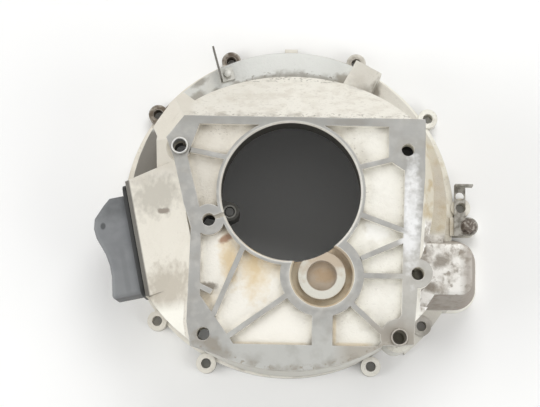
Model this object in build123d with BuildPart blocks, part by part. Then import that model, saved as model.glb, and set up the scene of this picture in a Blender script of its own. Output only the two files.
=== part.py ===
from build123d import *
from math import atan2, cos, degrees, radians, sin, tan
import os

os.makedirs("parts", exist_ok=True)

# Frame: origin on the gearbox bore's axis, in the plane of the engine face. +Z points to the gearbox.

# Overall casting. The drum's radius drives the flange, its bolts and everything that stands on the drum.
bell_depth = 165
drum_radius = 165
drum_height = 55
flange_centre = (-3, 3)
flange_width = 12
flange_radius = drum_radius + flange_width
flange_thickness = 12
flange_pad_width = 26
flange_pad_start_angle = -50
flange_pad_end_angle = -28
wall = 7
plate_thickness = 15
face_edge_height = 10
wall_slope = 36

# Gearbox face outline, seen from the gearbox, as corners in X and Y
face_top = 73
face_bottom_overhang = 7
face_bottom_radius = drum_radius + face_bottom_overhang
face_bottom_side = -45
face_top_left = (-105, face_top)
face_left_shoulder = (-122, 51)
face_left_upper = (-114, 31)
face_left_waist = (-103, -14)
face_left_middle = (-95.5, -37)
face_left_lower = (-97, -127)
face_bottom_left = (-93, -150)
face_arc_start_x = -70
face_arc_end_x = 90
face_bottom_right = (118.5, -145)
face_right_lower = (120.5, -114)
face_right_upper = (129, 18)
face_top_right = (129.5, face_top)

# Gearbox bore and its collar
bore_radius = 67.5
bore_collar_width = 4.5
bore_length = 27
bore_back_ring_width = 10
bore_chamfer = 1.5

# Gearbox bolt holes
gearbox_hole_radius = 6.25
gearbox_boss_radius = 14
gearbox_boss_length = 30
vent_groove_width = 4
vent_groove_depth = 4
top_pair_y = 42.5
bottom_pair_y = -138.5
hole_top_left = (-108.5, top_pair_y)
hole_top_right = (112.5, top_pair_y)
hole_left = (-78.6, -29)
hole_right = (122.5, -77.5)
hole_bottom_left = (-81, bottom_pair_y)
hole_bottom_right = (105, bottom_pair_y)
dowel_holes = [hole_top_left, hole_bottom_right]
gearbox_holes = [hole_top_left, hole_top_right, hole_left, hole_right, hole_bottom_left, hole_bottom_right]
corner_boss_bottom = 92
corner_boss_taper_length = 26
corner_boss_taper = 24

# Countershaft bearing recess in the face
recess_centre = (31, -80.5)
recess_radius = 29.5
recess_depth = 10
recess_land_width = 10.5
recess_chamfer = 2
recess_ring_outer_radius = 23
recess_ring_inner_radius = 14.5
recess_ring_height = 4
recess_centre_depth = 3
recess_back_thickness = 12

# Cast cells between the machined lands of the face
cell_depth = 7
top_land_width = 8
field_left_top = (-90, face_top - top_land_width)
field_left_upper = (-101, 33)
field_left_waist = (-87.5, -18)
field_left_middle = (-85.5, -52)
field_left_lower = (-85, -102)
field_bottom_left = (-52, -147.5)
field_bottom_right = (85, -147.5)
field_right_lower = (107, -117)
field_right_upper = (109.5, 22)
field_right_shoulder = (94, 32)
field_right_top = (94, face_top - top_land_width)
rib_width = 5
wide_rib_width = 19.5
left_pad_radius = 15
corner_pad_radius = 18
face_ribs = [
    ((-44, -53), (-72, -121), rib_width),
    ((-1.5, -100), (-58, -141), rib_width),
    ((-1.5, -60), (-1.5, -103), rib_width),
    ((32, -108), (32, -152), wide_rib_width),
    ((60, -108), (94, -139), rib_width),
    ((68, -80.5), (112, -80.5), rib_width),
    ((68, -64), (112, -44.5), rib_width),
    ((66, -21), (110, -37), rib_width),
    ((64, 24), (98, 33), rib_width),
    ((-62, 32), (-98, 39), rib_width),
    ((-88, -92), (-74, -98.5), rib_width),
]

# Engine flange bolt holes
bolt_circle_margin = 5
bolt_circle_radius = flange_radius + bolt_circle_margin
engine_hole_radius = 5.25
engine_boss_radius = 10.5
engine_boss_height = 14
engine_hole_angles = [3.4, 36.5, 68, 112, 143.5, -140.3, -118.5, -61.5, -39.7]

# Steps in the bell wall: a round shelf over the top, a trough at the upper left, and a cut beside the
# starter pocket. Each one is a region seen from the gearbox that is taken off the sloping wall.
shelf_width = 25
shelf_wall_radius = drum_radius - shelf_width
shelf_start_angle = -27
shelf_end_angle = 135
buttress_margin = 8
buttress_end_angle = 153
trough_corners = [(-134, 20), (-134, 58), (-144, 80), (-260, 130), (-260, 20)]
pocket_cut_corners = [(130, -50), (126, -107), (260, -107), (260, -50)]
top_block_angle = 62
top_block_width = 30
top_block_reach = drum_radius + 3
top_block_depth = 32
top_block_height = 22
top_lug_width = 14
top_lug_reach = 5
top_lug_height = 8

# Clutch fork window in the left wall
window_inset = 8.5
window_centre = (-drum_radius + window_inset, -40)
window_height_centre = 66
window_turn = 12.3
window_width = 108
window_height = 50
window_frame = 6
window_slope_depth = 58
window_corner_radius = 8

# Rubber boot over the window
boot_lip_thickness = 4.5
boot_lip_overlap = 4
boot_wall = 3.5
boot_bead_depth = 8
boot_bead_clearance = 0.3
boot_height = 44
boot_mouth_margin = 3
boot_edge_chamfer = 2
boot_corner_radius = 7
boot_profile = [(-48, 0), (-48, 20), (-30, 40), (-12, 41), (8, 33), (30, 31.5), (55, 35), (55, 0)]

# Starter motor pocket at the lower right, from its rear plate down
starter_reach = 21
starter_length = 86
starter_bottom = -88
starter_top = -36
starter_corner = 12
starter_height = 75
starter_draft = 10
starter_wall = 5.5
starter_rim_radius = 5

# Clutch fork pivot
pivot_centre = (-60, -17)
pivot_lug_radius = 9.5
pivot_lug_reach = 26
pivot_lug_drop = 34
pivot_lug_angle = 165
stud_thread_radius = 5
stud_hex_width = 17
stud_hex_height = 6
stud_shank_radius = 6.5
stud_shank_length = 8
stud_end_steps = [(4.6, 1.7), (2.2, 2.7)]
stud_end_depth = 1

# Hollow dowels in the gearbox face
dowel_radius = 8.5
dowel_clearance = 0.25
dowel_seat_depth = 9
dowel_stand_out = 4

# Harness clip on the top shelf
clip_thickness = 2
clip_inset = 11
clip_angle = 119.6
clip_turn = 106
clip_length = 36.4
clip_height = 18
clip_foot_width = 15
clip_foot_length = 14
clip_hole_radius = 2.6
clip_screw_head_radius = 4.6
clip_screw_head_height = 3
clip_screw_length = 10
thread_clearance = 0.1

# Strap bracket at the right of the engine flange
strap_thickness = 2
strap_width = 12
strap_centre_x = bolt_circle_radius - 1.5
strap_bottom_y = -20
strap_top_y = 35
strap_tab_length = 13
strap_tab_height = 12
strap_slot_radius = 4.5
strap_slot_y = 23
strap_bolt_centre = (bolt_circle_radius + 8, -9.5)
strap_bolt_hole_radius = 4.2
strap_bolt_head_width = 13
strap_bolt_head_height = 6
strap_bolt_washer_radius = 8.5
strap_bolt_washer_thickness = 1.5
strap_bolt_length = 12
strap_ear_radius = 10

slope_run = tan(radians(wall_slope))
slope_wall = wall / cos(radians(wall_slope))
plate_bottom = bell_depth - plate_thickness
slope_top = bell_depth - face_edge_height


def polar(radius, angle):
    return (radius * cos(radians(angle)), radius * sin(radians(angle)))


clip_start = polar(drum_radius - clip_inset, clip_angle)
clip_plane = Plane(
    origin=(*clip_start, drum_height),
    x_dir=(*polar(1, clip_turn), 0),
    z_dir=(0, 0, 1),
)
clip_screw_spot = (clip_foot_length / 2, -clip_foot_width / 2 - clip_thickness / 2)


def on_bottom_arc(x):
    return (x, -(face_bottom_radius**2 - x**2) ** 0.5)


# Gearbox face outline: straight sides, and an arc along the bottom that follows the drum
with BuildSketch() as face_outline:
    with BuildLine():
        Polyline(
            on_bottom_arc(face_arc_start_x),
            face_bottom_left,
            face_left_lower,
            face_left_middle,
            face_left_waist,
            face_left_upper,
            face_left_shoulder,
            face_top_left,
            face_top_right,
            face_right_upper,
            face_right_lower,
            face_bottom_right,
            on_bottom_arc(face_arc_end_x),
        )
        RadiusArc(
            on_bottom_arc(face_arc_end_x),
            on_bottom_arc(face_arc_start_x),
            face_bottom_radius,
        )
    make_face()


def sector(inner_radius, outer_radius, start_angle, end_angle):
    """Sketch a sector of a ring."""
    with BuildSketch() as ring:
        with BuildLine():
            CenterArc((0, 0), inner_radius, start_angle, end_angle - start_angle)
            Line(polar(inner_radius, end_angle), polar(outer_radius, end_angle))
            CenterArc((0, 0), outer_radius, start_angle, end_angle - start_angle)
            Line(polar(outer_radius, start_angle), polar(inner_radius, start_angle))
        make_face()
    return ring.sketch


# Outline that the sloping wall starts from: the face, drawn out at the top and bottom past the bell's
# round side. The edge from the left shoulder to the top left corner is lengthened for that.
far_up = 2 * flange_radius
shoulder_run = (face_top_left[0] - face_left_shoulder[0]) / (face_top_left[1] - face_left_shoulder[1])
with BuildSketch() as slope_outline:
    with BuildLine():
        Polyline(
            (face_bottom_left[0], -far_up),
            face_bottom_left,
            face_left_lower,
            face_left_middle,
            face_left_waist,
            face_left_upper,
            face_left_shoulder,
            (face_top_left[0] + (flange_radius - face_top) * shoulder_run, flange_radius),
            (face_top_right[0], flange_radius),
            face_right_upper,
            face_right_lower,
            face_bottom_right,
            (face_bottom_right[0], -far_up),
            close=True,
        )
    make_face()


def above_top_slope(drop):
    """Sketch, in Y and Z, what is cut off above the wall's top slope or a drop below it."""
    with BuildSketch() as region:
        with BuildLine():
            Polyline(
                (face_top - drop * slope_run, slope_top),
                (far_up, slope_top - drop - (far_up - face_top) / slope_run),
                (far_up, 2 * bell_depth),
                (face_top - drop * slope_run, 2 * bell_depth),
                close=True,
            )
        make_face()
    return region.sketch


def bell_outline(inset):
    """Sketch the bell's round limit: the drum's, and at the bottom the face's wider arc."""
    with BuildSketch() as outline:
        Circle(face_bottom_radius - inset)
        with Locations((0, face_bottom_side - inset)):
            Rectangle(2 * far_up, far_up, align=(Align.CENTER, Align.MIN), mode=Mode.SUBTRACT)
        with Locations(flange_centre):
            Circle(drum_radius - inset)
    return outline.sketch


def corner_region(corners, growth):
    """Sketch a region with straight sides, grown outwards by a wall."""
    with BuildSketch() as region:
        with BuildLine():
            Polyline(*corners, close=True)
        make_face()
        if growth:
            offset(amount=growth, kind=Kind.INTERSECTION)
    return region.sketch


def roof_steps(growth):
    """Sketch what is taken off the wall above the drum's roof, grown by a wall for the hollow."""
    turn = degrees(growth / shelf_wall_radius)
    with BuildSketch() as steps:
        add(sector(shelf_wall_radius - growth, far_up, shelf_start_angle - turn, shelf_end_angle + turn))
        buttress_end = buttress_end_angle + turn
        add(sector(drum_radius - buttress_margin - growth, far_up, shelf_end_angle, buttress_end))
        add(corner_region(trough_corners, growth))
    return steps.sketch


# Outer form of the sloping bell wall
with BuildPart() as tower:
    with BuildSketch(Plane.XY.offset(slope_top)):
        add(slope_outline.sketch)
    extrude(amount=slope_top, dir=(0, 0, -1), taper=-wall_slope)
    with BuildSketch():
        add(bell_outline(0))
    extrude(amount=bell_depth, mode=Mode.INTERSECT)
    with BuildSketch(Plane.YZ):
        add(above_top_slope(0))
    extrude(amount=far_up, both=True, mode=Mode.SUBTRACT)
    with BuildSketch(Plane.XY.offset(drum_height)):
        add(roof_steps(0))
    extrude(amount=bell_depth, mode=Mode.SUBTRACT)
    with BuildSketch(Plane.XY.offset(starter_height)):
        add(corner_region(pocket_cut_corners, 0))
    extrude(amount=bell_depth, mode=Mode.SUBTRACT)

# Hollow of the bell: the same form, one wall inside
with BuildPart() as bell_hollow:
    with BuildSketch(Plane.XY.offset(plate_bottom)):
        add(slope_outline.sketch)
        offset(amount=(slope_top - plate_bottom) * slope_run - slope_wall, kind=Kind.INTERSECTION)
    extrude(amount=plate_bottom, dir=(0, 0, -1), taper=-wall_slope)
    with BuildSketch():
        add(bell_outline(wall))
    extrude(amount=plate_bottom, mode=Mode.INTERSECT)
    with BuildSketch(Plane.YZ):
        add(above_top_slope(slope_wall / slope_run))
    extrude(amount=far_up, both=True, mode=Mode.SUBTRACT)
    with BuildSketch(Plane.XY.offset(drum_height - wall)):
        add(roof_steps(wall))
    extrude(amount=bell_depth, mode=Mode.SUBTRACT)
    with BuildSketch(Plane.XY.offset(starter_height - wall)):
        add(corner_region(pocket_cut_corners, wall))
    extrude(amount=bell_depth, mode=Mode.SUBTRACT)

# Fork window: its plane faces out of the left wall, with X along the wall and Y up
window_plane = Plane(
    origin=(window_centre[0], window_centre[1], window_height_centre),
    x_dir=(sin(radians(window_turn)), -cos(radians(window_turn)), 0),
    z_dir=(-cos(radians(window_turn)), -sin(radians(window_turn)), 0),
)
frame_width = window_width + 2 * window_frame
frame_height = window_height + 2 * window_frame
frame_bottom = window_height_centre - frame_height / 2
frame_top = window_height_centre + frame_height / 2

# The panel over the window: upright at the window, then sloping up to the face. Drawn in a plane across
# the window's width, with X out of the window and Y up.
panel_plane = Plane(origin=(*window_centre, 0), x_dir=window_plane.z_dir, z_dir=-window_plane.x_dir)
with BuildPart() as window_panel:
    with BuildSketch(panel_plane):
        with BuildLine():
            Polyline(
                (0, frame_bottom),
                (0, frame_top),
                (-window_slope_depth, frame_top + window_slope_depth),
                (-window_slope_depth, frame_bottom),
                close=True,
            )
        make_face()
    extrude(amount=frame_width / 2, both=True)
with BuildPart() as panel_hollow:
    with BuildSketch(panel_plane):
        with BuildLine():
            Polyline(
                (-window_frame, frame_bottom + window_frame),
                (-window_frame, frame_top - window_frame / 2),
                (-window_slope_depth, frame_top + window_slope_depth - 1.5 * window_frame),
                (-window_slope_depth, frame_bottom + window_frame),
                close=True,
            )
        make_face()
    extrude(amount=window_width / 2, both=True)

# Cast cells of the face: the field inside the machined border, less ribs and pads
with BuildSketch() as cells:
    with BuildLine():
        Polyline(
            field_left_top,
            field_left_upper,
            field_left_waist,
            field_left_middle,
            field_left_lower,
            field_bottom_left,
            field_bottom_right,
            field_right_lower,
            field_right_upper,
            field_right_shoulder,
            field_right_top,
            close=True,
        )
    make_face()
    Circle(bore_radius + bore_collar_width, mode=Mode.SUBTRACT)
    with Locations(recess_centre):
        Circle(recess_radius + recess_land_width, mode=Mode.SUBTRACT)
    with Locations(hole_left):
        Circle(left_pad_radius, mode=Mode.SUBTRACT)
    with Locations(hole_bottom_left, hole_bottom_right):
        Circle(corner_pad_radius, mode=Mode.SUBTRACT)
    for start, end, width in face_ribs:
        run = Vector(*end) - Vector(*start)
        middle = (Vector(*end) + Vector(*start)) / 2
        with Locations(middle):
            Rectangle(run.length, width, rotation=degrees(atan2(run.Y, run.X)), mode=Mode.SUBTRACT)


def pocket_outline(inset):
    """Sketch the outline of the starter pocket's rear plate, drawn in by a wall."""
    middle = (drum_radius + starter_reach - starter_length / 2, (starter_bottom + starter_top) / 2)
    with BuildSketch() as outline:
        with Locations(middle):
            RectangleRounded(
                starter_length - 2 * inset,
                starter_top - starter_bottom - 2 * inset,
                starter_corner - inset,
            )
    return outline.sketch


# Starter pocket, a bulge through the drum's side that widens towards the engine, with a rounded rim
with BuildPart() as starter_block:
    with BuildSketch(Plane.XY.offset(starter_height)):
        add(pocket_outline(0))
    extrude(amount=starter_height, dir=(0, 0, -1), taper=-starter_draft)
    fillet(starter_block.faces().sort_by(Axis.Z)[-1].edges(), starter_rim_radius)

with BuildPart() as housing:
    # Engine flange, its bolt bosses, the wide land beside the pocket, and the round drum
    with BuildSketch():
        with Locations(flange_centre):
            Circle(flange_radius)
        add(sector(drum_radius, drum_radius + flange_pad_width, flange_pad_start_angle, flange_pad_end_angle))
    extrude(amount=flange_thickness)
    with BuildSketch():
        with Locations([polar(bolt_circle_radius, angle) for angle in engine_hole_angles]):
            Circle(engine_boss_radius)
    extrude(amount=engine_boss_height)
    with BuildSketch():
        with Locations(flange_centre):
            Circle(drum_radius)
    extrude(amount=drum_height)

    # Sloping wall, the panel over the fork window, the starter pocket, and the plate of the gearbox face
    add(tower.part)
    add(window_panel.part)
    add(starter_block.part)
    with BuildSketch(Plane.XY.offset(plate_bottom)):
        add(face_outline.sketch)
        with Locations(hole_right):
            Circle(gearbox_boss_radius)
    extrude(amount=plate_thickness)

    # Corner boss of the bottom right hole, which stands out past the drum and tapers back into it
    with BuildSketch(Plane.XY.offset(corner_boss_bottom)):
        with Locations(hole_bottom_right):
            Circle(gearbox_boss_radius)
    extrude(amount=plate_bottom - corner_boss_bottom)
    with BuildSketch(Plane.XY.offset(corner_boss_bottom)):
        with Locations(hole_bottom_right):
            Circle(gearbox_boss_radius)
    extrude(amount=corner_boss_taper_length, dir=(0, 0, -1), taper=corner_boss_taper)

    # Block and lug cast on the roof, and the ear that the strap bracket's bolt goes into
    with BuildSketch():
        with Locations(polar(top_block_reach - top_block_depth / 2, top_block_angle)):
            Rectangle(top_block_depth, top_block_width, rotation=top_block_angle)
    extrude(amount=drum_height + top_block_height)
    with BuildSketch():
        with Locations((flange_centre[0], flange_centre[1] + flange_radius)):
            Rectangle(top_lug_width, 2 * top_lug_reach)
    extrude(amount=top_lug_height)
    with BuildSketch():
        with Locations(strap_bolt_centre):
            Circle(strap_ear_radius)
            Rectangle(2 * strap_ear_radius, 2 * strap_ear_radius, align=(Align.MAX, Align.CENTER))
    extrude(amount=engine_boss_height)

    # Hollow out the bell, the drum, the starter pocket and the panel over the window
    add(bell_hollow.part, mode=Mode.SUBTRACT)
    with BuildSketch():
        with Locations(flange_centre):
            Circle(drum_radius - wall)
    extrude(amount=drum_height - wall, mode=Mode.SUBTRACT)
    with BuildSketch(Plane.XY.offset(starter_height - starter_wall)):
        add(pocket_outline(starter_wall))
    extrude(amount=starter_height - starter_wall, dir=(0, 0, -1), taper=-starter_draft, mode=Mode.SUBTRACT)
    add(panel_hollow.part, mode=Mode.SUBTRACT)

    # Flat in front of the fork window, then the window itself
    with BuildSketch(window_plane):
        Rectangle(frame_width + 2 * window_frame, frame_height)
    extrude(amount=flange_radius, mode=Mode.SUBTRACT)
    with BuildSketch(window_plane):
        RectangleRounded(window_width, window_height, window_corner_radius)
    extrude(amount=-window_slope_depth, mode=Mode.SUBTRACT)

    # Column under the hole at the right, which stands out past the wall over the starter pocket
    with BuildSketch(Plane.XY.offset(starter_height - starter_wall)):
        with Locations(hole_right):
            Circle(gearbox_boss_radius)
    extrude(amount=plate_bottom - starter_height + starter_wall)

    # Bosses behind the gearbox bolt holes, the bearing recess and the bore
    with BuildSketch(Plane.XY.offset(bell_depth - gearbox_boss_length)):
        with Locations(gearbox_holes[:-1]):
            Circle(gearbox_boss_radius)
    extrude(amount=gearbox_boss_length - cell_depth)
    with BuildSketch(Plane.XY.offset(plate_bottom - recess_back_thickness)):
        with Locations(recess_centre):
            Circle(recess_radius + recess_land_width)
    extrude(amount=recess_back_thickness)
    with BuildSketch(Plane.XY.offset(bell_depth - bore_length)):
        Circle(bore_radius + bore_back_ring_width)
    extrude(amount=bore_length - plate_thickness)

    # Lug for the fork's pivot stud, hung below the plate so that it shows through the bore
    with BuildSketch(Plane.XY.offset(plate_bottom - pivot_lug_drop)):
        with Locations(Vector(*pivot_centre) + Vector(*polar(pivot_lug_reach / 2, pivot_lug_angle))):
            SlotCenterToCenter(pivot_lug_reach, 2 * pivot_lug_radius, rotation=pivot_lug_angle)
    extrude(amount=pivot_lug_drop)

    # Cells of the face
    with BuildSketch(Plane.XY.offset(bell_depth)):
        add(cells.sketch)
    extrude(amount=-cell_depth, mode=Mode.SUBTRACT)

    # Bearing recess with its raised ring, then the gearbox bore, which cuts into it
    with BuildSketch(Plane.XY.offset(bell_depth - recess_depth)):
        with Locations(recess_centre):
            Circle(recess_radius)
    extrude(amount=recess_depth, mode=Mode.SUBTRACT)
    with BuildSketch(Plane.XY.offset(bell_depth - recess_depth)):
        with Locations(recess_centre):
            Circle(recess_ring_outer_radius)
    extrude(amount=recess_ring_height)
    with BuildSketch(Plane.XY.offset(bell_depth - recess_depth - recess_centre_depth)):
        with Locations(recess_centre):
            Circle(recess_ring_inner_radius)
    extrude(amount=recess_depth + recess_centre_depth, mode=Mode.SUBTRACT)
    with BuildSketch(Plane.XY.offset(bell_depth)):
        with Locations(recess_centre):
            Circle(recess_radius + recess_chamfer)
    extrude(amount=recess_chamfer, dir=(0, 0, -1), taper=45, mode=Mode.SUBTRACT)
    with BuildSketch(Plane.XY.offset(bell_depth)):
        Circle(bore_radius)
    extrude(amount=-bore_length, mode=Mode.SUBTRACT)
    with BuildSketch(Plane.XY.offset(bell_depth)):
        Circle(bore_radius + bore_chamfer)
    extrude(amount=bore_chamfer, dir=(0, 0, -1), taper=45, mode=Mode.SUBTRACT)
    with BuildSketch(Plane.XY.offset(bell_depth)):
        with Locations(hole_left):
            Rectangle(
                bore_radius,
                vent_groove_width,
                rotation=degrees(atan2(-hole_left[1], -hole_left[0])),
                align=(Align.MIN, Align.CENTER),
            )
    extrude(amount=-vent_groove_depth, mode=Mode.SUBTRACT)

    # Bolt holes, the dowels' counterbores and the tapped holes
    with BuildSketch(Plane.XY.offset(bell_depth)):
        with Locations(gearbox_holes):
            Circle(gearbox_hole_radius)
    extrude(amount=-gearbox_boss_length, mode=Mode.SUBTRACT)
    with BuildSketch(Plane.XY.offset(bell_depth)):
        with Locations(dowel_holes):
            Circle(dowel_radius)
    extrude(amount=-dowel_seat_depth, mode=Mode.SUBTRACT)
    with BuildSketch():
        with Locations([polar(bolt_circle_radius, angle) for angle in engine_hole_angles]):
            Circle(engine_hole_radius)
    extrude(amount=engine_boss_height, mode=Mode.SUBTRACT)
    with BuildSketch(Plane.XY.offset(engine_boss_height)):
        with Locations(strap_bolt_centre):
            Circle(strap_bolt_hole_radius)
    extrude(amount=-strap_bolt_length, mode=Mode.SUBTRACT)
    with BuildSketch(clip_plane):
        with Locations(clip_screw_spot):
            Circle(clip_hole_radius)
    extrude(amount=-clip_screw_length, mode=Mode.SUBTRACT)
    with BuildSketch(Plane.XY.offset(plate_bottom - pivot_lug_drop)):
        with Locations(pivot_centre):
            Circle(stud_thread_radius)
    extrude(amount=pivot_lug_drop, mode=Mode.SUBTRACT)
housing.part.label = "housing"
export_step(housing.part, "parts/housing.step")

# Rubber boot: a humped hollow body on a lip, with a bead that grips the window
boot_plane = Plane(origin=window_plane.origin, x_dir=window_plane.x_dir, z_dir=(0, 0, -1))
with BuildPart() as fork_boot:
    with BuildSketch(boot_plane):
        with BuildLine():
            FilletPolyline(*boot_profile, radius=boot_corner_radius)
            Line(boot_profile[-1], boot_profile[0])
        make_face()
    extrude(amount=boot_height / 2, both=True)
    rims = fork_boot.edges().group_by(Axis.Z)[-1] + fork_boot.edges().group_by(Axis.Z)[0]
    outward = Axis(window_plane.origin, window_plane.z_dir)
    chamfer(rims.sort_by(outward)[2:], boot_edge_chamfer)
    with BuildSketch(window_plane):
        RectangleRounded(
            window_width + 2 * boot_lip_overlap,
            window_height + 2 * boot_lip_overlap,
            window_corner_radius + boot_lip_overlap,
        )
    extrude(amount=boot_lip_thickness)
    with BuildSketch(window_plane):
        RectangleRounded(
            window_width - 2 * boot_bead_clearance,
            window_height - 2 * boot_bead_clearance,
            window_corner_radius,
        )
    extrude(amount=-boot_bead_depth)
    with BuildSketch(boot_plane):
        with BuildLine():
            FilletPolyline(*boot_profile, radius=boot_corner_radius)
            Line(boot_profile[-1], boot_profile[0])
        make_face()
        offset(amount=-boot_wall)
    extrude(amount=boot_height / 2 - boot_wall, both=True, mode=Mode.SUBTRACT)
    with BuildSketch(window_plane.offset(-boot_bead_depth)):
        with Locations(((boot_profile[0][0] + boot_profile[-1][0]) / 2, 0)):
            RectangleRounded(
                boot_profile[-1][0] - boot_profile[0][0] - 2 * boot_wall,
                boot_height - 2 * boot_wall - 2 * boot_mouth_margin,
                window_corner_radius,
            )
    extrude(amount=boot_bead_depth + 2 * boot_lip_thickness, mode=Mode.SUBTRACT)
fork_boot.part.label = "fork_boot"
export_step(fork_boot.part, "parts/fork_boot.step")

# Ball stud that the clutch fork rocks on, screwed up into its lug
lug_bottom = plate_bottom - pivot_lug_drop
hex_bottom = lug_bottom - stud_hex_height
shank_bottom = hex_bottom - stud_shank_length
stud_end = [(pivot_centre[0] + radius, shank_bottom - drop) for radius, drop in stud_end_steps]
with BuildPart() as pivot_ball_stud:
    with BuildSketch(Plane.XY.offset(hex_bottom)):
        with Locations(pivot_centre):
            RegularPolygon(stud_hex_width / 2, 6, major_radius=False)
    extrude(amount=stud_hex_height)
    with BuildSketch(Plane.XY.offset(lug_bottom)):
        with Locations(pivot_centre):
            Circle(stud_thread_radius - thread_clearance)
    extrude(amount=bell_depth - bore_length - stud_end_depth - lug_bottom)
    with BuildSketch(Plane.XZ.offset(-pivot_centre[1])):
        with BuildLine():
            Polyline(
                (pivot_centre[0], stud_end[-1][1]),
                (pivot_centre[0], hex_bottom),
                (pivot_centre[0] + stud_shank_radius, hex_bottom),
                (pivot_centre[0] + stud_shank_radius, shank_bottom),
                *stud_end,
                close=True,
            )
        make_face()
    revolve(axis=Axis((*pivot_centre, 0), (0, 0, 1)))
pivot_ball_stud.part.label = "pivot_ball_stud"
export_step(pivot_ball_stud.part, "parts/pivot_ball_stud.step")

# Hollow dowels pressed into two of the gearbox bolt holes
with BuildPart() as face_dowels:
    with BuildSketch(Plane.XY.offset(bell_depth - dowel_seat_depth)):
        with Locations(dowel_holes):
            Circle(dowel_radius)
            Circle(gearbox_hole_radius + dowel_clearance, mode=Mode.SUBTRACT)
    extrude(amount=dowel_seat_depth + dowel_stand_out)
face_dowels.part.label = "face_dowels"
export_step(face_dowels.part, "parts/face_dowels.step")

# Sheet steel harness clip, folded up from a foot that is screwed to the shelf
with BuildPart() as harness_clip:
    with BuildSketch(clip_plane):
        Rectangle(clip_foot_length, clip_foot_width, align=(Align.MIN, Align.MAX))
        with Locations(clip_screw_spot):
            Circle(clip_hole_radius, mode=Mode.SUBTRACT)
    extrude(amount=clip_thickness)
    with BuildSketch(clip_plane):
        Rectangle(clip_length, clip_thickness, align=(Align.MIN, Align.MAX))
    extrude(amount=clip_height)
harness_clip.part.label = "harness_clip"
export_step(harness_clip.part, "parts/harness_clip.step")

with BuildPart() as clip_screw:
    with BuildSketch(clip_plane.offset(clip_thickness)):
        with Locations(clip_screw_spot):
            Circle(clip_hole_radius - thread_clearance)
    extrude(amount=-clip_screw_length)
    with BuildSketch(clip_plane.offset(clip_thickness)):
        with Locations(clip_screw_spot):
            Circle(clip_screw_head_radius)
    extrude(amount=clip_screw_head_height)
clip_screw.part.label = "clip_screw"
export_step(clip_screw.part, "parts/clip_screw.step")

# Strap bracket flat on the flange's bosses, with a turned-up tab at its upper end
with BuildPart() as strap_bracket:
    with BuildSketch(Plane.XY.offset(engine_boss_height)):
        with Locations((strap_centre_x, strap_bottom_y)):
            Rectangle(strap_width, strap_top_y - strap_bottom_y, align=(Align.CENTER, Align.MIN))
        with Locations(strap_bolt_centre):
            Circle(strap_ear_radius)
            Circle(strap_bolt_hole_radius, mode=Mode.SUBTRACT)
        with Locations(polar(bolt_circle_radius, engine_hole_angles[0])):
            Circle(engine_hole_radius + dowel_clearance, mode=Mode.SUBTRACT)
        with Locations((strap_centre_x, strap_slot_y)):
            Circle(strap_slot_radius, mode=Mode.SUBTRACT)
    extrude(amount=strap_thickness)
    with BuildSketch(Plane.XY.offset(engine_boss_height)):
        with Locations((strap_centre_x - strap_width / 2, strap_top_y)):
            Rectangle(strap_tab_length + strap_width / 2, strap_thickness, align=(Align.MIN, Align.MAX))
    extrude(amount=strap_tab_height)
strap_bracket.part.label = "strap_bracket"
export_step(strap_bracket.part, "parts/strap_bracket.step")

with BuildPart() as strap_bolt:
    with BuildSketch(Plane.XY.offset(engine_boss_height + strap_thickness)):
        with Locations(strap_bolt_centre):
            Circle(strap_bolt_hole_radius - thread_clearance)
    extrude(amount=-strap_bolt_length)
    with BuildSketch(Plane.XY.offset(engine_boss_height + strap_thickness)):
        with Locations(strap_bolt_centre):
            Circle(strap_bolt_washer_radius)
    extrude(amount=strap_bolt_washer_thickness)
    with BuildSketch(Plane.XY.offset(engine_boss_height + strap_thickness + strap_bolt_washer_thickness)):
        with Locations(strap_bolt_centre):
            RegularPolygon(strap_bolt_head_width / 2, 6, major_radius=False)
    extrude(amount=strap_bolt_head_height)
strap_bolt.part.label = "strap_bolt"
export_step(strap_bolt.part, "parts/strap_bolt.step")
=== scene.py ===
"""A used clutch bellhousing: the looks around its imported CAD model."""

import math

import bmesh
import bpy
from mathutils import Matrix, Vector


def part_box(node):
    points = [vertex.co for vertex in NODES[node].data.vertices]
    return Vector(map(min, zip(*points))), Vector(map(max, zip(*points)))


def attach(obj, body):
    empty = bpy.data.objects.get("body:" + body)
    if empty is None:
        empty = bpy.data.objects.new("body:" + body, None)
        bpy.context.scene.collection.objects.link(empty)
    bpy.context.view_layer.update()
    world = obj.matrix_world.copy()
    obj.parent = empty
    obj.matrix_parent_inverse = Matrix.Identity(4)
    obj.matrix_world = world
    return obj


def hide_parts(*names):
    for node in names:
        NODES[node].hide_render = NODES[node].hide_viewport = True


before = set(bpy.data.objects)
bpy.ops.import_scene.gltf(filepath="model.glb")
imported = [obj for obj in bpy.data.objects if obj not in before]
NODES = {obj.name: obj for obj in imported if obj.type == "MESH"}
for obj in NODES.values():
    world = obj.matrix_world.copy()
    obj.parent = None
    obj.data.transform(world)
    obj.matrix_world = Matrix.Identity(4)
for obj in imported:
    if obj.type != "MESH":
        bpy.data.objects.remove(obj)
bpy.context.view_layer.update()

bl_info = {
    "name": "Bellhousing Looks",
    "version": (1, 0, 0),
    "blender": (4, 5, 0),
    "location": "View3D > Sidebar > Bellhousing",
    "description": "Dresses a clutch bellhousing with worn cast aluminium, rubber and steel",
    "category": "Object",
}

MM = 0.001

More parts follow.
